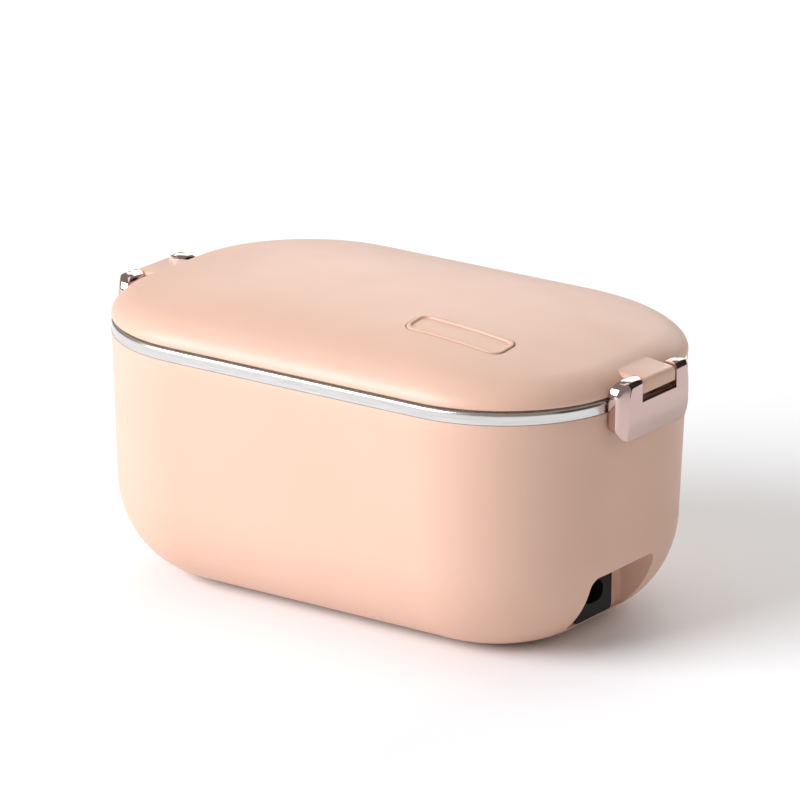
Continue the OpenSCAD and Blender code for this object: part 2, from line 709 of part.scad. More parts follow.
module latch() {
    cheek = latch_w / 2 - 2.2;
    roof = lid_z - 2.7;
    tip = hx + ridge_out + slack;
    color(rose) difference() {
        union() {
            difference() {
                intersection() {
                    translate([0, latch_w / 2, 0]) rotate([90, 0, 0]) linear_extrude(latch_w) latch_side();
                    translate([0, 0, latch_z - 2]) linear_extrude(pin_z + 8 - latch_z) latch_plan();
                    translate([hx - 2, 0, 0]) rotate([90, 0, 90]) linear_extrude(latch_out + 4) latch_front(0);
                }
                // The hollow behind the front plate, open below for a fingertip
                intersection() {
                    translate([0, cheek, 0]) rotate([90, 0, 0]) linear_extrude(2 * cheek)
                        polygon([[hx - 2, latch_z - 4], [front_x - 3.2, latch_z - 4],
                            [front_x - 3.2, latch_z + 0.6], [front_x - 0.9 - latch_wall, latch_z + 3.2],
                            [front_x - 0.3 - latch_wall, latch_z + 5.6], [front_x - latch_wall, latch_z + 8.2],
                            [front_x - latch_wall, roof], [hx - 2, roof]]);
                    translate([hx - 2, 0, 0]) rotate([90, 0, 90]) linear_extrude(latch_out + 4) {
                        latch_front(2.2);
                        translate([8.4 - latch_w / 2, latch_z - 5]) square([latch_w - 16.8, 12]);
                    }
                }
            }
            // The nose that hooks under the catch ridge
            translate([0, ridge_w / 2, 0]) rotate([90, 0, 0]) linear_extrude(ridge_w)
                polygon([[front_x - 2, ridge_z + 0.2], [tip, ridge_z - 0.4], [tip, ridge_z - 1.4],
                    [tip + 0.9, ridge_z - 2.2], [front_x - 2, ridge_z - 3.2]]);
        }
        // The notch for the lid's lug
        translate([hx - 2, -slot_w / 2, slot_z]) cube([latch_out + 4, slot_w, 20]);
        translate([pin_x, latch_w / 2 - 4.5, pin_z]) rotate([90, 0, 0])
            cylinder(r = pin_r + fit_gap, h = latch_w - 9);
    }
}

module right_hinge_pin() { hinge_pin(); }
module left_hinge_pin() { mirror([1, 0, 0]) hinge_pin(); }
module right_latch() { latch(); }
module left_latch() { mirror([1, 0, 0]) latch(); }

// ---------------------------------------------------------------- food containers

rim_w = 3;
tub_inner_x = hx - tub_rim - tub_slope;
tub_inner_y = hy - tub_rim - tub_slope;
cap_over = slack + 1.2; // how far a container's lid reaches past its rim
cont_x1 = tub_inner_x - container_gap;
cont_mid = (cont_x1 + cap_over + 0.5) / 2;
cont_hx = cont_x1 - cont_mid;
cont_hy = tub_inner_y - container_gap - cap_over;
container_r = round(corner_r - tub_rim - tub_slope - container_gap - 3);
cont_z = tub_floor + slack;
cont_top = cont_z + container_h;

module container() {
    slope = 2.4;
    round = 12;
    foot = rim_w + slope;
    color(steel) translate([cont_mid, 0, 0]) filled_run(cont_hx, cont_hy, container_r, cont_z, cont_z + sheet)
        polygon(concat(
            [[0, cont_top - 1.2], [0, cont_top - 0.4], [-0.4, cont_top], [-rim_w - sheet, cont_top]],
            arc(-foot - sheet - round, cont_z + sheet + round, round, round, 0, -90, 8),
            [[-container_r, cont_z + sheet], [-container_r, cont_z]],
            arc(-foot - sheet - round, cont_z + sheet + round, round + sheet, round + sheet, -90, 0, 8),
            [[-rim_w, cont_top - sheet], [-sheet, cont_top - sheet], [-sheet, cont_top - 1.2]]));
}

// Lid of a container: its skirt goes down outside the rim
cap_z = cont_top + 1.8;
cap_t = 1.4;
module container_lid() {
    z1 = cap_z + cap_t;
    color([0.93, 0.90, 0.87]) translate([cont_mid, 0, 0])
        filled_run(cont_hx, cont_hy, container_r, cap_z - 0.8, z1 - 0.8)
            polygon([[slack, cont_top - 2.4], [cap_over, cont_top - 2.4], [cap_over, z1 - 0.6],
                [cap_over - 0.6, z1], [-rim_w - 1.4, z1], [-rim_w - 2.2, z1 - 0.8],
                [-container_r, z1 - 0.8], [-container_r, cap_z - 0.8],
                [-rim_w - 2.6, cap_z - 0.8], [-rim_w - 2.6, cap_z], [slack, cap_z]]);
}

module container_seal() {
    z0 = cont_top + slack;
    color(silicone) translate([cont_mid, 0, 0]) run(cont_hx, cont_hy, container_r)
        polygon([[-0.2, cap_z - seat_gap], [-0.2, z0 + 0.5], [-0.7, z0], [-rim_w + 0.6, z0],
            [-rim_w - 0.2, z0 + 0.5], [-rim_w - 0.2, cap_z - seat_gap]]);
}

module right_container() { container(); }
module left_container() { mirror([1, 0, 0]) container(); }
module right_container_lid() { container_lid(); }
module left_container_lid() { mirror([1, 0, 0]) container_lid(); }
module right_container_seal() { container_seal(); }
module left_container_seal() { mirror([1, 0, 0]) container_seal(); }

// ---------------------------------------------------------------- drawing

outer_body();
steel_tub();
tub_gasket();
heating_plate();
heating_element();
plate_nuts();
thermostat();
thermostat_screws();
thermal_fuse();
fuse_clip();
power_inlet();
inlet_contacts();
live_wire();
neutral_wire();
link_wires();
base_cover();
base_screws();
rubber_feet();
lid_shell();
name_plate();
lid_liner();
lid_seal();
left_hinge_pin();
right_hinge_pin();
left_latch();
right_latch();
left_container();
right_container();
left_container_lid();
right_container_lid();
left_container_seal();
right_container_seal();
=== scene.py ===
import math

import bmesh
import bpy
import numpy as np
from mathutils import Matrix, Vector


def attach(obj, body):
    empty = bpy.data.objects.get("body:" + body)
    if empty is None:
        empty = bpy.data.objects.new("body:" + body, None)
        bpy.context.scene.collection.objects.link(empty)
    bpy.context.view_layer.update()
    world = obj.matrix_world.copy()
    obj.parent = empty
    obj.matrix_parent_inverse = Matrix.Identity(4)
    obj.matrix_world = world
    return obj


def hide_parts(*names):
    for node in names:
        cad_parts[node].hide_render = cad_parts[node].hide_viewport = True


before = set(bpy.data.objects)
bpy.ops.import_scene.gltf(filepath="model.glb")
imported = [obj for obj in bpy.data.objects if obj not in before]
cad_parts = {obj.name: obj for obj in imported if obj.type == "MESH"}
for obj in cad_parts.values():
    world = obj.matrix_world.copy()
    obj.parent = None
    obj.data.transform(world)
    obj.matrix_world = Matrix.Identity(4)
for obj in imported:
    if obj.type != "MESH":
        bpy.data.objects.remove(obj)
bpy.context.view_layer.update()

# ------------------------------------------------------------------ camera
# A long lens at the photograph's viewing angle, a little above the lid and off the
# corner between the front and the end with the socket. The lens is about 285 mm, and the
# Standard view keeps white as white.
azimuth, elevation, roll = math.radians(34.83), math.radians(17.84), math.radians(0.49)
look_at, distance = Vector((0.0015, 0, 0.07995)), 2.565
focal_px, frame_px, sensor_mm = 6323, 800, 36
back = Vector((math.sin(azimuth) * math.cos(elevation), -math.cos(azimuth) * math.cos(elevation),
               math.sin(elevation)))
level = Vector((0, 0, 1)).cross(back).normalized()
upright = back.cross(level)
across = math.cos(roll) * level + math.sin(roll) * upright
above = math.cos(roll) * upright - math.sin(roll) * level
lens = bpy.data.cameras.new("camera")
lens.sensor_width = sensor_mm
lens.lens = focal_px / frame_px * sensor_mm
lens.clip_start, lens.clip_end = 0.1, 30
camera = bpy.data.objects.new("camera", lens)
turn = Matrix((across, above, back)).transposed().to_4x4()
camera.matrix_world = Matrix.Translation(look_at + distance * back) @ turn
bpy.context.scene.collection.objects.link(camera)
bpy.context.scene.camera = camera
bpy.context.scene.view_settings.view_transform = "Standard"

# ------------------------------------------------------------------ moulded body
# The outer body: one injection moulding in peach polypropylene, 2.4 mm thick, with its
# ends rounded in plan and a wide rounding under it. A pocket for the power lead is sunk
# in its right end, and a ridge on each end catches the latch.

# Sizes here and below are in millimetres: half the body's length and width, the radius of its
# corners in plan, the heights of its underside and its top, its wall, and how far its flat and
# its waist stand inside the outline.
mm = 0.001
body_x, body_y, corner_r = 118, 74, 57
base_z, body_top, wall = 1.2, 103.2, 2.4
flat_in, waist_in, round_h = 39.3, 2.305, 42
waist_z = base_z + round_h
pocket_y, pocket_back, pocket_w, pocket_draft = -5, 98.5, 22.5, 2.3
pocket_floor, pocket_ceiling, pocket_corner, pocket_foot = 9.6, 33.7, 4.5, 1.2


def outline(x, y, r, inset, corner=30, long=30, short=12):
    """Points round a rectangle with round corners, set in by inset, anticlockwise from its right
    end, with so many steps to a corner and to a long and a short side."""
    r2, cx, cy = r - inset, x - r, y - r
    points = []
    for q, (sx, sy) in enumerate(((1, 1), (-1, 1), (-1, -1), (1, -1))):
        for i in range(corner + 1):
            a = math.radians(90 * (q + i / corner))
            points.append((sx * cx + r2 * math.cos(a), sy * cy + r2 * math.sin(a)))
        steps = long if q % 2 == 0 else short
        a = points[-1]
        b = ((-sx if q % 2 == 0 else sx) * cx + r2 * math.cos(math.radians(90 * (q + 1))),
             (sy if q % 2 == 0 else -sy) * cy + r2 * math.sin(math.radians(90 * (q + 1))))
        points += [(a[0] + (b[0] - a[0]) * k / steps, a[1] + (b[1] - a[1]) * k / steps)
                   for k in range(1, steps)]
    return points


def body_outline(inset):
    """The body's own outline in plan, which the tub and the lid share."""
    return outline(body_x, body_y, corner_r, inset)


def arc(cx, cy, rx, ry, a0, a1, n):
    """Points of an arc in a profile, from angle a0 to a1 in degrees."""
    angles = [math.radians(a0 + (a1 - a0) * i / n) for i in range(n + 1)]
    return [(cx + rx * math.cos(a), cy + ry * math.sin(a)) for a in angles]


def loft(name, rings, ends="ring", uv=True):
    """A mesh through rings of as many points each, in millimetres. ends is ring where the
    last ring joins the first, caps where both ends are closed, or open."""
    n, count = len(rings[0]), len(rings)
    points = np.array(rings, float).reshape(-1, 3) * mm
    faces = []
    for i in range(count if ends == "ring" else count - 1):
        j = (i + 1) % count
        faces += [(i * n + k, i * n + (k + 1) % n, j * n + (k + 1) % n, j * n + k) for k in range(n)]
    if ends == "caps":
        faces += [tuple(range(n))[::-1], tuple(range((count - 1) * n, count * n))]
    mesh = bpy.data.meshes.new(name)
    mesh.from_pydata(points.tolist(), [], faces)
    if uv:
        # u runs round the outline and v along the profile, both in metres
        layer = mesh.uv_layers.new(name="run")
        middle = points.reshape(count, n, 3)[count // 2]
        u = np.concatenate([[0], np.cumsum(np.linalg.norm(np.roll(middle, -1, 0) - middle, axis=1))])
        first = points.reshape(count, n, 3)[:, 0]
        v = np.concatenate([[0], np.cumsum(np.linalg.norm(np.roll(first, -1, 0) - first, axis=1))])
        for f in mesh.polygons[:len(faces) - (2 if ends == "caps" else 0)]:
            i, k = divmod(f.index, n)
            for loop, (du, dv) in zip(f.loop_indices, ((0, 0), (1, 0), (1, 1), (0, 1))):
                layer.data[loop].uv = (u[k + du], v[i + dv])
    tidy = bmesh.new()
    tidy.from_mesh(mesh)
    bmesh.ops.remove_doubles(tidy, verts=tidy.verts, dist=1e-6)
    bmesh.ops.delete(tidy, geom=[e for e in tidy.edges if not e.link_faces], context="EDGES")
    bmesh.ops.recalc_face_normals(tidy, faces=tidy.faces)
    tidy.to_mesh(mesh)
    tidy.free()
    return mesh


def solid(name, mesh):
    """An object of that mesh, in the scene."""
    piece = bpy.data.objects.new(name, mesh)
    bpy.context.scene.collection.objects.link(piece)
    return piece


def carve(piece, *steps):
    """Cuts or joins other solids, one after the other, and removes them."""
    for operation, other in steps:
        cut = piece.modifiers.new("cut", "BOOLEAN")
        cut.operation, cut.object, cut.solver = operation, other, "MANIFOLD"
    made = bpy.data.meshes.new_from_object(piece.evaluated_get(bpy.context.evaluated_depsgraph_get()))
    piece.modifiers.clear()
    piece.data = made
    for _, other in steps:
        bpy.data.objects.remove(other)
    return piece


def smooth(piece, degrees):
    """Smooth shading, with sharp edges where two faces meet at more than that angle."""
    for f in piece.data.polygons:
        f.use_smooth = True
    piece.data.set_sharp_from_angle(angle=math.radians(degrees))


def swept(name, profile, ends="ring"):
    """A profile of (distance inside the body's outline, height) run round that outline."""
    return loft(name, [[(x, y, z) for x, y in body_outline(d)] for d, z in profile], ends)


def rounding(inset, n):
    """The wide rounding under the body, that much inside its skin, as n profile points from the
    flat up to the side."""
    return [(flat_in - (flat_in - waist_in - inset) * math.cos(math.radians(a)),
             waist_z - (round_h - inset) * math.sin(math.radians(a))) for a in np.linspace(90, 0, n)]


# The skin from the opening below up to its eased top edge, then the collar that the tub's rim
# hangs over, and back down inside: the wall, and the step round the opening.
edge_w, step_h = 0.25, 4.6
skin = [(42, base_z)] + rounding(0, 36)
skin += [(waist_in + (edge_w - waist_in) * t, waist_z + (body_top - edge_w - waist_z) * t)
         for t in np.linspace(0, 1, 10)[1:-1]]
skin += [(0.01, body_top - 0.3), (0.1, body_top - 0.08), (0.32, body_top)]
inside = [(1.4, body_top), (1.4, 106.6), (3.8, 106.6), (3.8, 98.2), (2.8, 94.2)]
inside += rounding(wall, 16)[::-1]
inside += [(40.3, base_z + wall), (40.3, base_z + step_h), (46.8, base_z + step_h),
           (46.8, base_z + 2.2), (42, base_z + 2.2)]
outer_body = solid("moulded_body", swept("moulded_body", skin + inside))


def pocket_section(x, grow, w):
    """The pocket's opening across the end at x: flat below, with two round corners above."""
    z0, z1, c = pocket_floor - grow, pocket_ceiling + grow, pocket_corner
    right = arc(w - pocket_foot, z0 + pocket_foot, pocket_foot, pocket_foot, -90, 0, 4)
    right += arc(w - c, z1 - c, c, c, 0, 90, 10)
    return [(x, pocket_y + a, z) for a, z in right] + [(x, pocket_y - a, z) for a, z in right[::-1]]


def pocket_solid(name, grow, back_x, front_x, fillet):
    """The pocket as a solid, grown on all sides by so much: its side walls come nearer towards
    the back, where its corners are round."""
    rings = []
    for a in (np.linspace(0, 90, 5) if fillet else [90]):
        g = fillet * (1 - math.sin(math.radians(a)))
        x = back_x + fillet * (1 - math.cos(math.radians(a)))
        drawn_in = pocket_draft * (body_x - x) / (body_x - pocket_back)
        rings.append(pocket_section(x, grow - g, pocket_w + grow - drawn_in - g))
    rings.append(pocket_section(body_x, grow, pocket_w + grow))
    rings.append(pocket_section(front_x, grow, pocket_w + grow))
    return solid(name, loft(name, rings, "caps", uv=False))


def block(name, low, high):
    """A cuboid between two corners in millimetres, used to cut with."""
    cube = bmesh.new()
    bmesh.ops.create_cube(cube, size=1)
    for v in cube.verts:
        v.co = Vector([(lo + (hi - lo) * (c + 0.5)) * mm for lo, hi, c in zip(low, high, v.co)])
    mesh = bpy.data.meshes.new(name)
    cube.to_mesh(mesh)
    cube.free()
    return solid(name, mesh)


def catch_ridge(side):
    """The ridge under the steel band that the latch's nose hooks under."""
    z, root = body_top - 5.6, -1.2
    profile = [(root, -0.4), (1.6, 0), (1.85, 0.15), (2, 0.5), (2, 1.3), (1.85, 1.65), (0.3, 4.1),
               (root, 4.1)]
    ends = [(-12, 0.35), (-11.65, 0), (11.65, 0), (12, 0.35)]
    rings = [[(side * (body_x + max(a - g, root)), y, z + b) for a, b in profile] for y, g in ends]
    return solid("ridge", loft("ridge", rings, "caps", uv=False))


# The pocket's own walls end inside the body's wall, so that its skin stays whole
mid_wall = wall / 2
envelope = solid("envelope", swept("envelope", rounding(mid_wall, 14) + [(mid_wall, 90)], "caps"))
pocket_walls = carve(pocket_solid("pocket_walls", wall, pocket_back - wall, 124, 0),
                     ("INTERSECT", envelope))
carve(outer_body, ("UNION", pocket_walls), ("UNION", catch_ridge(1)), ("UNION", catch_ridge(-1)),
      ("DIFFERENCE", pocket_solid("pocket", 0, pocket_back, 126, 1.5)),
      ("DIFFERENCE", block("window", (93, -15, 11.7), (103, 5, 26.7))))


def skin_inset(z):
    """How far the body's skin stands inside the outline at a height."""
    s = min(max((waist_z - z) / round_h, 0), 1)
    side = (body_top - z) * waist_in / (body_top - waist_z)
    return side if z > waist_z else flat_in - (flat_in - waist_in) * math.sqrt(1 - s * s)


def from_corner(x, y):
    """Distance in plan from the centre of the nearest round corner, and 0 nearer the middle."""
    return math.hypot(max(abs(x) - body_x + corner_r, 0), max(abs(y) - body_y + corner_r, 0))


def pocket_mouth(p):
    """Whether a point in metres lies on the pocket's rim, where it meets the body's outside."""
    x, y, z = (c / mm for c in p)
    near = x > 90 and 8 < z < 35 and abs(y - pocket_y) < 24
    return near and abs(corner_r - from_corner(x, y) - skin_inset(z)) < 0.12


def round_rim(piece, where, width, segments):
    """Rounds the sharp edges for which where() holds, after merging the specks that a cut leaves
    along them, always in the same order."""
    work = bmesh.new()
    work.from_mesh(piece.data)
    for stage in range(2):
        sharp = [e for e in work.edges if len(e.link_faces) == 2 and e.calc_face_angle(0) > 0.5
                 and all(where(v.co) for v in e.verts)]
        if stage == 0:
            specks = sorted({v for e in sharp for v in e.verts}, key=lambda v: v.index)
            bmesh.ops.remove_doubles(work, verts=specks, dist=0.3 * mm)
    bmesh.ops.bevel(work, geom=sharp, offset=width * mm, segments=segments, affect="EDGES", profile=0.5,
                    clamp_overlap=True)
    work.to_mesh(piece.data)
    work.free()


round_rim(outer_body, pocket_mouth, 0.45, 3)
smooth(outer_body, 28)


def linear(code):
    """An sRGB hex colour as linear values."""
    parts = [int(code[i:i + 2], 16) / 255 for i in (0, 2, 4)]
    return tuple(c / 12.92 if c <= 0.04045 else ((c + 0.055) / 1.055) ** 2.4 for c in parts) + (1.0,)


def put(tree, kind, inputs=None, **settings):
    """Adds a node to a tree: its settings, and its inputs as values or as the sockets that they
    come from."""
    made = tree.nodes.new(kind)
    for key, value in settings.items():
        setattr(made, key, value)
    for key, value in (inputs or {}).items():
        if isinstance(value, bpy.types.NodeSocket):
            tree.links.new(value, made.inputs[key])
        else:
            made.inputs[key].default_value = value
    return made


def finish_named(name, **values):
    """A new material: its node tree, and its shader with these values."""
    material = bpy.data.materials.new(name)
    material.use_nodes = True
    shader = material.node_tree.nodes["Principled BSDF"]
    for key, value in values.items():
        shader.inputs[key.replace("_", " ")].default_value = value
    return material, material.node_tree, shader


def tinted(tree, shader, factor, shade, deep):
    """Lets the shader's colour wander between two shades."""
    mix = put(tree, "ShaderNodeMix", {"Factor": factor, 6: linear(shade), 7: linear(deep)}, data_type="RGBA")
    tree.links.new(mix.outputs[2], shader.inputs["Base Color"])


def relief(tree, shader, factor, strength, height):
    """Lets a pattern stand up from the surface, by a height in millimetres."""
    bump = put(tree, "ShaderNodeBump", {"Height": factor, "Strength": strength, "Distance": height * mm})
    tree.links.new(bump.outputs["Normal"], shader.inputs["Normal"])


def moulded_plastic(name, shade, deep, gloss, grain=1.4, height=0.012):
    """Injection-moulded plastic: a fine orange-peel skin with pale and deeper clouds a few
    centimetres wide, and a sheen that varies a little with how the mould was polished. The
    grain, in millimetres, is drawn coarser than it is, so that it still shows."""
    material, tree, shader = finish_named(name, IOR=1.49)
    place = put(tree, "ShaderNodeTexCoord").outputs["Object"]
    clouds = put(tree, "ShaderNodeTexNoise", {"Vector": place, "Scale": 22, "Detail": 2})
    tinted(tree, shader, clouds.outputs["Fac"], shade, deep)
    polish = put(tree, "ShaderNodeTexNoise", {"Vector": place, "Scale": 60, "Detail": 3})
    sheen = put(tree, "ShaderNodeMapRange", {"Value": polish.outputs["Fac"], "From Min": 0.3, "From Max": 0.7,
                                             "To Min": gloss - 0.03, "To Max": gloss + 0.03})
    tree.links.new(sheen.outputs["Result"], shader.inputs["Roughness"])
    peel = put(tree, "ShaderNodeTexNoise", {"Vector": place, "Scale": 1 / (grain * mm), "Detail": 2,
                                            "Roughness": 0.4})
    relief(tree, shader, peel.outputs["Fac"], 0.25, height)
    return material


def mottled(name, shade, deep, rough, scale, detail, bump=None, **values):
    """A material whose tone wanders between two shades over a noise of so many cells to the
    metre, with a bump of (strength, height) from the same noise where it has one. Grits finer
    than about a millimetre are drawn coarser than they are."""
    material, tree, shader = finish_named(name, Roughness=rough, **values)
    place = put(tree, "ShaderNodeTexCoord").outputs["Object"]
    noise = put(tree, "ShaderNodeTexNoise", {"Vector": place, "Scale": scale, "Detail": detail})
    tinted(tree, shader, noise.outputs["Fac"], shade, deep)
    if bump:
        relief(tree, shader, noise.outputs["Fac"], *bump)
    return material


# The peach plastic: satin, with a skin that breaks up the highlights a little
peach_pp = moulded_plastic("moulded_polypropylene_peach", "d9b39e", "d5ad97", 0.44)


def dress(piece, material, body=None, slot=None, *nodes):
    """Gives a piece its material, its body and the CAD nodes it stands for. The slot is not used."""
    piece.data.materials.clear()
    piece.data.materials.append(material)
    if body:
        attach(piece, body)
        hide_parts(*nodes)


dress(outer_body, peach_pp, "base", "peach_plastic", "outer_body")

# ------------------------------------------------------------------ base
# A flat cover moulded in the same peach plastic closes the body below. Four zinc-plated
# screws with cross recesses hold it, each in its own well.
dress(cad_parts["base_cover"], peach_pp)

# Bright grey zinc with a fine, slightly cloudy crystal that changes its tone and its gloss
crystal_mm, zinc_gloss = 3, 0.28
zinc_plated, tree, shader = finish_named("zinc_plated_steel", Metallic=1.0)
place = put(tree, "ShaderNodeTexCoord").outputs["Object"]
crystal = put(tree, "ShaderNodeTexVoronoi", {"Vector": place, "Scale": 1 / (crystal_mm * mm)})
tinted(tree, shader, crystal.outputs["Distance"], "c9cacb", "e4e4e2")
dull = put(tree, "ShaderNodeMapRange", {"Value": crystal.outputs["Distance"], "To Min": zinc_gloss,
                                        "To Max": zinc_gloss + 0.12})
tree.links.new(dull.outputs["Result"], shader.inputs["Roughness"])
dress(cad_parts["base_screws"], zinc_plated)

# ------------------------------------------------------------------ feet
# Four round feet moulded in grey rubber, with a soft edge and a dimple in the middle, pressed
# into recesses of the cover. One tree turns a foot and sets it at the four corners.


def new_tree(name, **sizes):
    """A geometry tree with these named sizes as its inputs, and its input and output nodes."""
    tree = bpy.data.node_groups.new(name, "GeometryNodeTree")
    tree.interface.new_socket(name="Geometry", in_out="OUTPUT", socket_type="NodeSocketGeometry")
    for key, value in sizes.items():
        socket = tree.interface.new_socket(name=key.replace("_", " "), in_out="INPUT",
                                           socket_type="NodeSocketFloat")
        socket.default_value = value
    return tree, tree.nodes.new("NodeGroupInput").outputs, tree.nodes.new("NodeGroupOutput")


def grown(name, tree, **sizes):
    """The plain mesh that a geometry tree makes with these sizes, as an object."""
    holder = solid(name, bpy.data.meshes.new(name))
    made_by = holder.modifiers.new("tree", "NODES")
    made_by.node_group = tree
    for item in tree.interface.items_tree:
        if item.in_out == "INPUT" and item.name.replace(" ", "_") in sizes:
            made_by[item.identifier] = sizes[item.name.replace(" ", "_")]
    mesh = bpy.data.meshes.new_from_object(holder.evaluated_get(bpy.context.evaluated_depsgraph_get()))
    holder.modifiers.clear()
    holder.data = mesh
    return holder


# Grey rubber: matt, with a fine grit that dulls it further
rubber = mottled("moulded_rubber_grey", "5a5655", "716c6a", 0.75, 1100, 3, (0.5, 0.06), IOR=1.5)

foot_tree, size, out = new_tree("turned_foot_at_four_corners", Spacing_X=0.12, Spacing_Y=0.032, Radius=0.007,
                                Height=0.0022, Edge=0.0006)
half = put(foot_tree, "ShaderNodeMath", {0: size["Radius"], 1: 0.5}, operation="MULTIPLY")
path = put(foot_tree, "GeometryNodeCurvePrimitiveCircle", {"Resolution": 48, "Radius": half.outputs[0]})
section = put(foot_tree, "GeometryNodeCurvePrimitiveQuadrilateral",
              {"Width": size["Radius"], "Height": size["Height"]})
eased = put(foot_tree, "GeometryNodeFilletCurve", {"Curve": section.outputs["Curve"], "Radius": size["Edge"],
                                                   "Count": 4}, mode="POLY")
turned = put(foot_tree, "GeometryNodeCurveToMesh", {"Curve": path.outputs["Curve"],
                                                    "Profile Curve": eased.outputs["Curve"]})
corners = put(foot_tree, "GeometryNodeMeshGrid", {"Size X": size["Spacing X"], "Size Y": size["Spacing Y"],
                                                  "Vertices X": 2, "Vertices Y": 2})
lifted = put(foot_tree, "ShaderNodeMath", {0: size["Height"], 1: 0.5}, operation="MULTIPLY")
up = put(foot_tree, "ShaderNodeCombineXYZ", {"Z": lifted.outputs[0]})
stood = put(foot_tree, "GeometryNodeTransform", {"Geometry": corners.outputs["Mesh"],
                                                 "Translation": up.outputs["Vector"]})
placed = put(foot_tree, "GeometryNodeInstanceOnPoints", {"Points": stood.outputs["Geometry"],
                                                         "Instance": turned.outputs["Mesh"]})
real = put(foot_tree, "GeometryNodeRealizeInstances", {"Geometry": placed.outputs["Instances"]})
joined = put(foot_tree, "GeometryNodeMergeByDistance", {"Geometry": real.outputs["Geometry"],
                                                        "Distance": 0.00001})
# The section's side on the axis leaves a bare edge there, which goes
beside = put(foot_tree, "GeometryNodeInputMeshEdgeNeighbors")
bare = put(foot_tree, "ShaderNodeMath", {0: beside.outputs["Face Count"], 1: 0.5}, operation="LESS_THAN")
closed = put(foot_tree, "GeometryNodeDeleteGeometry", {"Geometry": joined.outputs["Geometry"],
                                                       "Selection": bare.outputs[0]}, domain="EDGE")
dressed = put(foot_tree, "GeometryNodeSetMaterial", {"Geometry": closed.outputs["Geometry"],
                                                     "Material": rubber})
foot_tree.links.new(dressed.outputs["Geometry"], out.inputs["Geometry"])
feet = grown("rubber_feet_turned", foot_tree, Spacing_X=0.12, Spacing_Y=0.032)
smooth(feet, 40)
dress(feet, rubber, "base", "grey_rubber", "rubber_feet")

# ------------------------------------------------------------------ power inlet
# A two-pin inlet snapped into the back of the pocket: a black nylon housing with a flat
# face and an oval recess, and two brass pins that reach almost to its mouth.
# Black nylon: nearly no highlight, so that the inlet reads as a dark hole with an edge
nylon = mottled("moulded_nylon_black", "070707", "0d0c0c", 0.6, 1500, 3, (0.4, 0.04), IOR=1.53,
                Specular_IOR_Level=0.3)
dress(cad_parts["power_inlet"], nylon)

# Yellow brass with the fine rings that the turning tool leaves
brass, tree, shader = finish_named("turned_brass", Metallic=1.0, Roughness=0.25)
place = put(tree, "ShaderNodeTexCoord").outputs["Object"]
rings_cut = put(tree, "ShaderNodeTexWave", {"Vector": place, "Scale": 500, "Distortion": 1.5, "Detail": 2})
tinted(tree, shader, rings_cut.outputs["Fac"], "c8a860", "ddc58a")
dress(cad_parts["inlet_contacts"], brass)

# ------------------------------------------------------------------ heater
# A cast aluminium plate with a hairpin element pressed into it, held under the tub by four
# nuts. A thermostat and a thermal fuse under a steel strap sense its heat.
# Cast aluminium: dull silver, pitted by the sand of its mould
cast = mottled("sand_cast_aluminium", "a9abad", "cccdce", 0.5, 900, 5, (0.8, 0.2), Metallic=1.0)
dress(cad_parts["heating_plate"], cast)

# The element's steel sheath, dark and blotched from annealing
sheath = mottled("annealed_steel_sheath", "55524e", "7d7266", 0.48, 300, 4, Metallic=1.0)
dress(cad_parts["heating_element"], sheath)
for name in ("plate_nuts", "thermostat_screws", "fuse_clip"):
    dress(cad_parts[name], zinc_plated)
# Brown phenolic, hard and fairly glossy, and white ceramic with a wavy glaze
phenolic = moulded_plastic("moulded_phenolic_brown", "4a352b", "3a2a22", 0.35)
dress(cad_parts["thermostat"], phenolic)
ceramic = moulded_plastic("glazed_ceramic_white", "e2dfd6", "d6d1c6", 0.25, grain=3, height=0.004)
dress(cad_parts["thermal_fuse"], ceramic)

# ------------------------------------------------------------------ wiring
# Four silicone-insulated wires, each a stranded core in a soft round jacket: brown from the
# inlet to the fuse, blue to the element, and two white links between the heater's pieces.
# The silicone is matt, with a drawn skin.
for node_name, shade, deep in (("live_wire", "6b3d26", "5a3220"), ("neutral_wire", "2d4c92", "253f7c"),
                               ("link_wires", "dcdad2", "cecbc1")):
    jacket = moulded_plastic("extruded_silicone_" + node_name, shade, deep, 0.6, grain=0.9, height=0.02)
    dress(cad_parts[node_name], jacket)

# ------------------------------------------------------------------ steel tub
# The tub: deep-drawn stainless steel 0.8 mm thick. Its rim is rolled out over the body's
# edge and shows outside as a satin band with a bright bead along its top.

# Profiles of (distance inside the body's outline, height), the second one for its underside
tub = [(1.1, 103.45), (0.3, 103.4), (0.3, 106.75), (0.26, 106.85), (0.06, 106.95)]
tub += arc(1.4, 107, -1.4, 1.4, 0, 90, 8) + arc(4.6, 107, 1.4, 1.4, 90, 0, 8)
tub += [(6.2, 92), (6.5, 72)] + arc(19.8, 50.5, -13, -13, 0, 90, 12) + [(30, 37.5), (45, 37.5)]
under_tub = [(45, 36.7), (30, 36.7)] + arc(19.8, 50.5, -13.8, -13.8, 90, 0, 12) + [(5.7, 72), (5.4, 92)]
under_tub += arc(4.6, 107, 0.6, 0.6, 0, 90, 5) + arc(1.4, 107, -0.6, 0.6, 90, 0, 5) + [(1.1, 106.8)]


def tray(name, top, bottom):
    """A drawn tray: rings down its inside to the middle of its floor, and back up its outside."""
    rings = [[(x, y, z) for x, y in body_outline(d)] for d, z in top]
    rings += [[(x * k, y * k, top[-1][1]) for x, y, _ in rings[-1]] for k in (0.66, 0.33, 0)]
    rings += [[(x * k, y * k, bottom[0][1]) for x, y in body_outline(bottom[0][0])]
              for k in (0, 0.33, 0.66)]
    rings += [[(x, y, z) for x, y in body_outline(d)] for d, z in bottom]
    return loft(name, rings)


steel_tub = solid("deep_drawn_tub", tray("deep_drawn_tub", tub, under_tub))
smooth(steel_tub, 40)


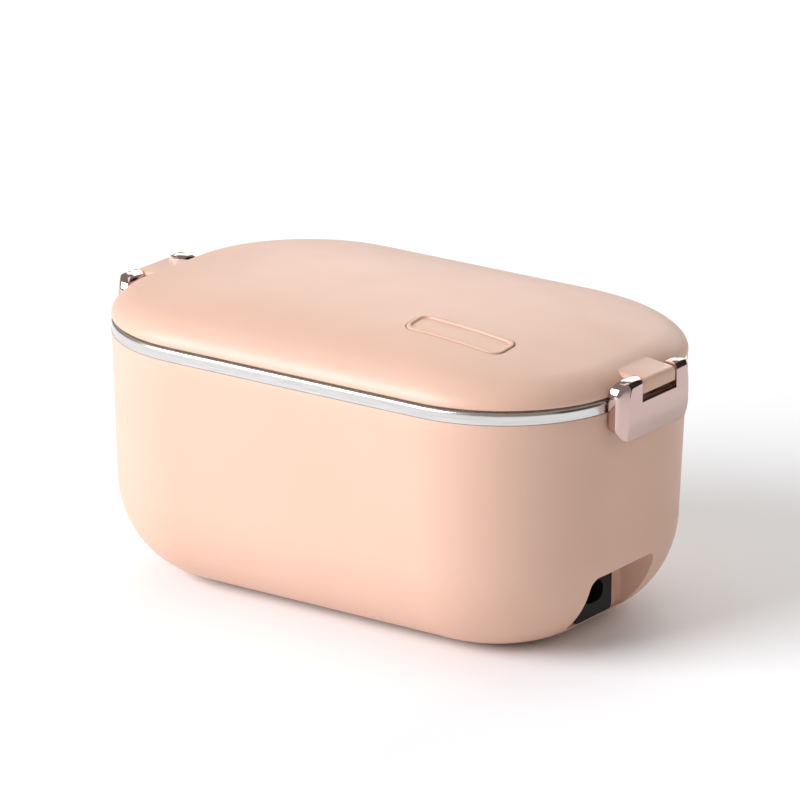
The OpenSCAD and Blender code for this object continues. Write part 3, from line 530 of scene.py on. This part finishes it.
def drawn_steel(name, shade, gloss, along):
    """Drawn stainless steel, brushed along its own outline or else upright: fine lines that run
    the way the brush went, with a streak here and there that is duller, which breaks up what
    the metal mirrors. The lines are drawn coarser than real ones, so that they still show."""
    line_mm, line_h, stretch = 0.35, 0.004, 0.03
    material, tree, shader = finish_named(name, Metallic=1.0)
    if along:
        place = put(tree, "ShaderNodeUVMap", uv_map="run").outputs["UV"]
    else:
        place = put(tree, "ShaderNodeTexCoord").outputs["Object"]
    laid = put(tree, "ShaderNodeMapping", {"Vector": place,
                                           "Scale": (stretch, 1, 1) if along else (1, 1, stretch)})
    brush = put(tree, "ShaderNodeTexNoise", {"Vector": laid.outputs["Vector"],
                                             "Scale": 1 / (line_mm * mm), "Detail": 3})
    tinted(tree, shader, brush.outputs["Fac"], shade, "f0efec")
    relief(tree, shader, brush.outputs["Fac"], 0.3, line_h)
    streaks = put(tree, "ShaderNodeTexNoise", {"Vector": laid.outputs["Vector"], "Scale": 260, "Detail": 2})
    dull = put(tree, "ShaderNodeMapRange", {"Value": streaks.outputs["Fac"], "From Min": 0.35,
                                            "From Max": 0.7, "To Min": gloss, "To Max": gloss + 0.1})
    tree.links.new(dull.outputs["Result"], shader.inputs["Roughness"])
    return material


brushed_band = drawn_steel("drawn_stainless_brushed_round_the_rim", "b4b3af", 0.16, True)
dress(steel_tub, brushed_band, "base", "satin_steel", "steel_tub")

# ------------------------------------------------------------------ domed lid
# The lid's shell: one moulding in the same peach plastic, 2.2 mm thick. Its height falls away
# evenly from the middle to a round shoulder, and a lug for each latch grows out of its ends.
lid_z, lid_edge, lid_wall = 109.2, 1, 2.2
shoulder_w, shoulder_h, crown_h, crown_power = 12, 6, 13.6, 2.65


def reach(x, y):
    """Distance from the middle to the lid's outline, through a point of the plan."""
    n = max(math.hypot(x, y), 1e-9)
    c, s = max(abs(x) / n, 1e-3 if abs(y) < 1e-6 else 1e-9), max(abs(y) / n, 1e-9)
    if body_x / c * s <= body_y - corner_r:
        return body_x / c
    if body_y / s * c <= body_x - corner_r:
        return body_y / s
    b = c * (body_x - corner_r) + s * (body_y - corner_r)
    return b + math.sqrt(b * b - (body_x - corner_r) ** 2 - (body_y - corner_r) ** 2 + corner_r ** 2)


def crown(x, y):
    """Height of the dome over a point of the plan."""
    return crown_h * (1 - min(1, math.hypot(x, y) / reach(x, y)) ** crown_power)


def lid_height(x, y):
    """Height of the lid's outside over a point of the plan."""
    d = min(max(corner_r - from_corner(x, y), 0), shoulder_w)
    return lid_z + lid_edge + shoulder_h * math.sqrt(max(0, 1 - (1 - d / shoulder_w) ** 2)) + crown(x, y)


# Rings up the eased edge and the shoulder, in to the middle, and back out and down inside
dome = [[(x, y, lid_z + z) for x, y in body_outline(d)]
        for d, z in [(0.8, 0), (0.49, 0.06), (0.23, 0.23), (0.06, 0.49), (0, 0.8)]]
for a in np.linspace(0, 90, 15):
    dome.append([(x, y, lid_height(x, y)) for x, y in
                 body_outline(shoulder_w * (1 - math.cos(math.radians(a))))])
flank = body_outline(shoulder_w)
for k in list(np.linspace(0.965, 0.06, 27)) + [0.02, 0]:
    dome.append([(x * k, y * k, lid_height(x * k, y * k)) for x, y in flank])
for k in (0, 0.1, 0.3, 0.5, 0.7, 0.85):
    dome.append([(x * k, y * k, lid_height(x * k, y * k) - lid_wall) for x, y in flank])
for a in np.linspace(90, 0, 7):
    d = lid_wall + (shoulder_w - lid_wall) * (1 - math.cos(math.radians(a)))
    up = lid_z + lid_edge + (shoulder_h - lid_wall) * math.sin(math.radians(a))
    dome.append([(x, y, up + crown(x, y)) for x, y in body_outline(d)])
dome.append([(x, y, lid_z) for x, y in body_outline(lid_wall)])
lid_shell = solid("lid_dome", loft("lid_dome", dome))


def lug(side):
    """The lug that a latch hangs on, with its top front edge round and its two top corners eased.
    Its profile is points of (x, z, whether the easing moves them)."""
    profile = [(116.4, 109.2, 0), (125.7, 109.2, 0), (125.95, 109.3, 1), (126, 109.5, 1)]
    profile += [(x, z, 1) for x, z in arc(124.2, 113.4, 1.8, 1.8, 0, 82, 8)]
    profile += [(113.2, 116.35, 1), (113.2, 115.2, 0), (116.4, 111.8, 0)]
    rings = []
    for y, g in ((-12, 1.3), (-11.85, 0.95), (-11.2, 0.3), (-10.6, 0), (10.6, 0), (11.2, 0.3),
                 (11.85, 0.95), (12, 1.3)):
        rings.append([(side * (x - g * move * 0.45), y, z - g * move * (z > 113)) for x, z, move in profile])
    return solid("lug", loft("lug", rings, "caps", uv=False))


# The recess that the plate is stuck in, with a shadow gap round it
plate_x, plate_y, shadow_gap = 54.3, -34.7, 0.5
plate_l, plate_w, plate_r = 23.3, 7.8, 5
slant_s, slant_t = 0.985, 0.975


def on_dome(s, t, h):
    """A point s along and t across the plate, h above the dome there. The plate lies on a slant,
    so in plan it is a little shorter and slimmer."""
    x, y = plate_x + s * slant_s, plate_y + t * slant_t
    dx = (lid_height(x + 1, y) - lid_height(x - 1, y)) / 2
    dy = (lid_height(x, y + 1) - lid_height(x, y - 1)) / 2
    up = Vector((-dx, -dy, 1)).normalized() * h
    return (x + up.x, y + up.y, lid_height(x, y) + up.z)


def plate_solid(name, layers, grow=0.0):
    """A rounded plate that follows the dome: layers of (distance inside the edge, height over
    the dome)."""
    def ring(inset, height, k=1):
        return [on_dome(s * k, t * k, height) for s, t in
                outline(plate_l + grow, plate_w + grow, plate_r + grow, inset, corner=10, long=16, short=4)]

    innermost = plate_r - 0.4
    rings = [ring(min(d, innermost), h) for d, h in layers]
    rings += [ring(innermost, layers[-1][1], k) for k in (0.6, 0.3, 0)]
    rings += [ring(0, layers[0][1], k) for k in (0, 0.3, 0.6)]
    return solid(name, loft(name, rings, uv=False))


carve(lid_shell, ("UNION", lug(1)), ("UNION", lug(-1)),
      ("DIFFERENCE", plate_solid("recess", [(0, -1), (0, 5)], shadow_gap)))
smooth(lid_shell, 30)
dress(lid_shell, peach_pp, "lid", "peach_plastic", "lid_shell")

# ------------------------------------------------------------------ plate on the lid
# A slim moulded plate, left bare: a flat field inside a raised round border, pressed into
# the lid's recess so that a thin dark gap shows round it.
border = [(0.1, -0.95), (0, -0.8), (0, 0.1), (0.1, 0.3), (0.3, 0.44), (0.6, 0.5), (1.2, 0.5),
          (1.55, 0.42), (1.8, 0.25), (1.95, 0), (2.05, -0.25), (2.2, -0.34), (2.5, -0.35)]
name_plate = plate_solid("bare_plate", border)
smooth(name_plate, 50)
# The same plastic a shade deeper and glossier, so that the border catches the light
plate_pp = moulded_plastic("moulded_polypropylene_plate", "d8b09a", "d4a992", 0.4)
dress(name_plate, plate_pp, "lid", "peach_plastic", "name_plate")

# ------------------------------------------------------------------ latches
# Two latches die-cast in zinc and plated in rose gold: a flat front plate with bevelled
# sides and a hollow back, hung on a steel pin between two round ears. A nose inside hooks
# under the body's ridge.
pin_x, pin_z = 122, 112.2
front_x, front_w, ear_r, foot_r = 126, 21.3, 7, 6.51
# How high the latch's lower edge lies at each depth: up behind, lowest just behind the front
foot_line = np.array([(118, 96.4), (120.2, 95.8), (121.6, 95), (122.6, 93.8), (123.3, 92),
                      (123.9, 90.95), (124.3, 90.65), (124.6, 91.1), (124.85, 92.2), (125.1, 94),
                      (125.45, 95.6), (125.75, 97.1), (125.93, 98.4), (126, 99.6)])
# The depths of its rings and how far each is drawn in, which eases its front and back edges
front_rings = [(126, 0.4), (125.95, 0.18), (125.85, 0.06)]
middle_rings = [(x, 0) for x in (125.7, 125.45, 125.1, 124.85, 124.6, 124.3, 123.9, 123.6, 123.3, 123,
                                 122.6, 122, 121.4, 120.7, 120, 119.4, 118.9)]
back_rings = [(118.5, 0.03), (118.25, 0.12), (118.08, 0.28), (118, 0.5)]


def half_width(x, z):
    """Half the latch's width at a depth and a height: flat cheeks with round corners, cut by a
    bevel that narrows a little to its foot and to its top, with a soft edge between the two."""
    low, high = min(6.5, max(0, 97.2 - z)), min(ear_r, max(0, z - 109.2))
    cheek = 11.5 + math.sqrt(foot_r ** 2 - low ** 2) + math.sqrt(ear_r ** 2 - high ** 2)
    bevel = front_w + 1.233 * (front_x - x) - 0.045 * max(0, 98.5 - z) ** 2 - 0.014 * max(0, z - 104) ** 2
    soft = 1.3
    blend = max(0, soft - abs(cheek - bevel))
    return min(cheek, bevel) - blend * blend / (4 * soft)


def latch_solid(side):
    """The latch's outside, lofted from its front plate back to its rim. Its ears are rounder
    behind the pin than before it."""
    rings, heights, squareness = [], 36, 2.6
    for x, inset in front_rings + middle_rings + back_rings:
        if x > pin_x:
            top = pin_z + 4.1 * (1 - ((x - pin_x) / 4) ** squareness) ** (1 / squareness)
        else:
            top = 110.6 + 5.7 * math.sqrt(max(0, 1 - ((pin_x - x) / 4.02) ** 2))
        low = float(np.interp(x, foot_line[:, 0], foot_line[:, 1])) + inset
        right = []
        for k in range(heights + 1):
            z = low + (top - low) * (0.5 - 0.5 * math.cos(math.pi * k / heights))
            foot_end = max(0, 0.8 - (z - low)) ** 2 * 0.6
            top_end = 1 - math.sqrt(1 - min(0.99, max(0, 1 - (top - z))) ** 2)
            right.append((half_width(x, z) - inset - (foot_end + top_end), z))
        rings.append([(side * x, y, z) for y, z in right] + [(side * x, -y, z) for y, z in right[::-1]])
    return solid("latch", loft("latch", rings, "caps", uv=False))


def rounded_section(side, x, w, z0, z1, r_low):
    """A section across the hollow at x: half width w, from z0 to z1, with round lower corners."""
    right = arc(w - r_low, z0 + r_low, r_low, r_low, -90, 0, 7) + [(w, z1)]
    return [(side * x, y, z) for y, z in right] + [(side * x, -y, z) for y, z in right[::-1]]


def latch_hollow(side):
    """The hollow behind the front plate, whose sides follow the bevels."""
    rings = [rounded_section(side, *ring) for ring in
             ((124.2, 21.4, 99.7, 106.5, 2), (123.9, 21.6, 97.1, 106.5, 2.5), (123.3, 21.9, 94.6, 106.5, 4),
              (122.8, 22.4, 93.4, 106.5, 5), (122.2, 23.2, 93.4, 106.5, 5.5), (117, 23.2, 93.4, 106.5, 5.5))]
    return solid("hollow", loft("hollow", rings, "caps", uv=False))


def nose(side):
    """The nose that hooks under the ridge."""
    profile = [(124.6, 97.8), (120.4, 97.25), (120.3, 97.1), (120.3, 96.3), (120.5, 95.9), (121.2, 95.4),
               (124.6, 94.4)]
    rings = [[(side * x, y, z) for x, z in profile] for y in (-12, 12)]
    return solid("nose", loft("nose", rings, "caps", uv=False))


def mirrored(side, low, high):
    """A cutting block at either end."""
    a, b = side * low[0], side * high[0]
    return block("block", (min(a, b), *low[1:]), (max(a, b), *high[1:]))


# Rose-gold plating: a pink mirror whose polish and flatness vary a little, as cast pieces' do
rose_gold, tree, shader = finish_named("rose_gold_plated_zinc", Metallic=1.0, Base_Color=linear("ceb3ac"))
place = put(tree, "ShaderNodeTexCoord").outputs["Object"]
smear = put(tree, "ShaderNodeTexNoise", {"Vector": place, "Scale": 90, "Detail": 3})
polish = put(tree, "ShaderNodeMapRange", {"Value": smear.outputs["Fac"], "From Min": 0.35, "From Max": 0.7,
                                          "To Min": 0.05, "To Max": 0.1})
tree.links.new(polish.outputs["Result"], shader.inputs["Roughness"])
wave = put(tree, "ShaderNodeTexNoise", {"Vector": place, "Scale": 140, "Detail": 1})
relief(tree, shader, wave.outputs["Fac"], 0.12, 0.05)

for side, name in ((-1, "left"), (1, "right")):
    latch = latch_solid(side)
    latch.name = name + "_latch_plated"
    finger_gap = mirrored(side, (117, -18.4, 85), (122.8, 18.4, 99))
    slot = mirrored(side, (116, -12.4, 105.9), (130, 12.4, 125))
    carve(latch, ("DIFFERENCE", latch_hollow(side)), ("DIFFERENCE", finger_gap), ("UNION", nose(side)),
          ("DIFFERENCE", slot))
    round_rim(latch, lambda p: True, 0.3, 2)
    smooth(latch, 30)
    dress(latch, rose_gold, name + "_latch", "rose_chrome", name + "_latch")

# ------------------------------------------------------------------ hinge pins
# A straight steel pin through each lug and the two ears beside it.
for name in ("left_hinge_pin", "right_hinge_pin"):
    dress(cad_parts[name], zinc_plated)

# ------------------------------------------------------------------ inner lid
# A tray moulded in white polypropylene, clipped up into the lid. It keeps the steam off the
# lid, and its skirt hangs in the tub's mouth. The plastic is a warm, slightly glossy white.
white_pp = moulded_plastic("moulded_polypropylene_white", "ece8e0", "e4dfd5", 0.42)
dress(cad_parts["lid_liner"], white_pp)

# ------------------------------------------------------------------ seals
# Rings moulded in translucent white silicone: one between tub and body, one in the lid, and
# one in each container's lid. The silicone is matt and lets a little light in.
silicone = mottled("moulded_silicone_white", "dedbd3", "ebe9e4", 0.55, 45, 3, IOR=1.41,
                   Subsurface_Weight=0.2, Subsurface_Scale=0.002)
for name in ("tub_gasket", "lid_seal", "left_container_seal", "right_container_seal"):
    dress(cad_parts[name], silicone)

# ------------------------------------------------------------------ food containers
# Two drawn stainless containers stand side by side in the tub, each with a white lid. Their
# steel is brushed up and down and duller than the tub's band.
brushed_container = drawn_steel("drawn_stainless_brushed_upright", "d2d1cd", 0.26, False)
for name in ("left_container", "right_container"):
    dress(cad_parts[name], brushed_container)
for name in ("left_container_lid", "right_container_lid"):
    dress(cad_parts[name], white_pp)

# ------------------------------------------------------------------ studio
# A pale floor, a large soft light from the front left, weaker ones behind, above and on the
# right, and dark cards on the right, seen only in what is glossy, that give the plated
# latches their dark reflections.
paper = mottled("studio_floor_paper", "f8f8f8", "fafafa", 0.9, 3, 2)


def panel(name, corners, material):
    """A flat sheet of the studio between four corners, in metres."""
    mesh = bpy.data.meshes.new(name)
    mesh.from_pydata(corners, [], [(0, 1, 2, 3)])
    sheet = solid(name, mesh)
    sheet.data.materials.append(material)
    return sheet


panel("floor", [(-12, -12, 0), (12, -12, 0), (12, 12, 0), (-12, 12, 0)], paper)
black_card = finish_named("black_card", Roughness=0.9, Base_Color=linear("0c0c0c"))[0]
card_foot, card_top = 0.002, 0.75
for name, (x0, y0), (x1, y1) in (("card_right", (0.8, -0.16), (0.66, 0.5)),
                                 ("card_back", (0.66, 0.5), (0.3, 0.85))):
    card = panel(name, [(x0, y0, card_foot), (x1, y1, card_foot), (x1, y1, card_top), (x0, y0, card_top)],
                 black_card)
    card.visible_camera = card.visible_diffuse = card.visible_shadow = False


aim = Vector((0, 0, 0.06))


def softbox(name, at, size, power, color=(1, 1, 1)):
    """A soft studio light, in metres and watts, turned to the middle of the object."""
    light = bpy.data.lights.new(name, "AREA")
    light.shape = "RECTANGLE"
    light.size, light.size_y = size
    light.energy = power
    light.color = color
    lamp = bpy.data.objects.new(name, light)
    bpy.context.scene.collection.objects.link(lamp)
    lamp.location = at
    lamp.rotation_euler = (aim - Vector(at)).to_track_quat("-Z", "Y").to_euler()


softbox("key", (-1.65, -2.6, 1.5), (2.7, 1.9), 156, color=(0.985, 1, 1.06))
softbox("back", (-0.93, 2.86, 1.6), (3.0, 2.2), 42)
softbox("above", (-0.3, 0.3, 3.3), (2.2, 2.2), 18)
softbox("right", (2.3, 1.7, 1.3), (1.6, 1.6), 8)
world = bpy.data.worlds.new("studio")
world.use_nodes = True
sky = world.node_tree.nodes["Background"].inputs
sky["Color"].default_value = (1, 0.985, 0.97, 1)
sky["Strength"].default_value = 0.32
bpy.context.scene.world = world
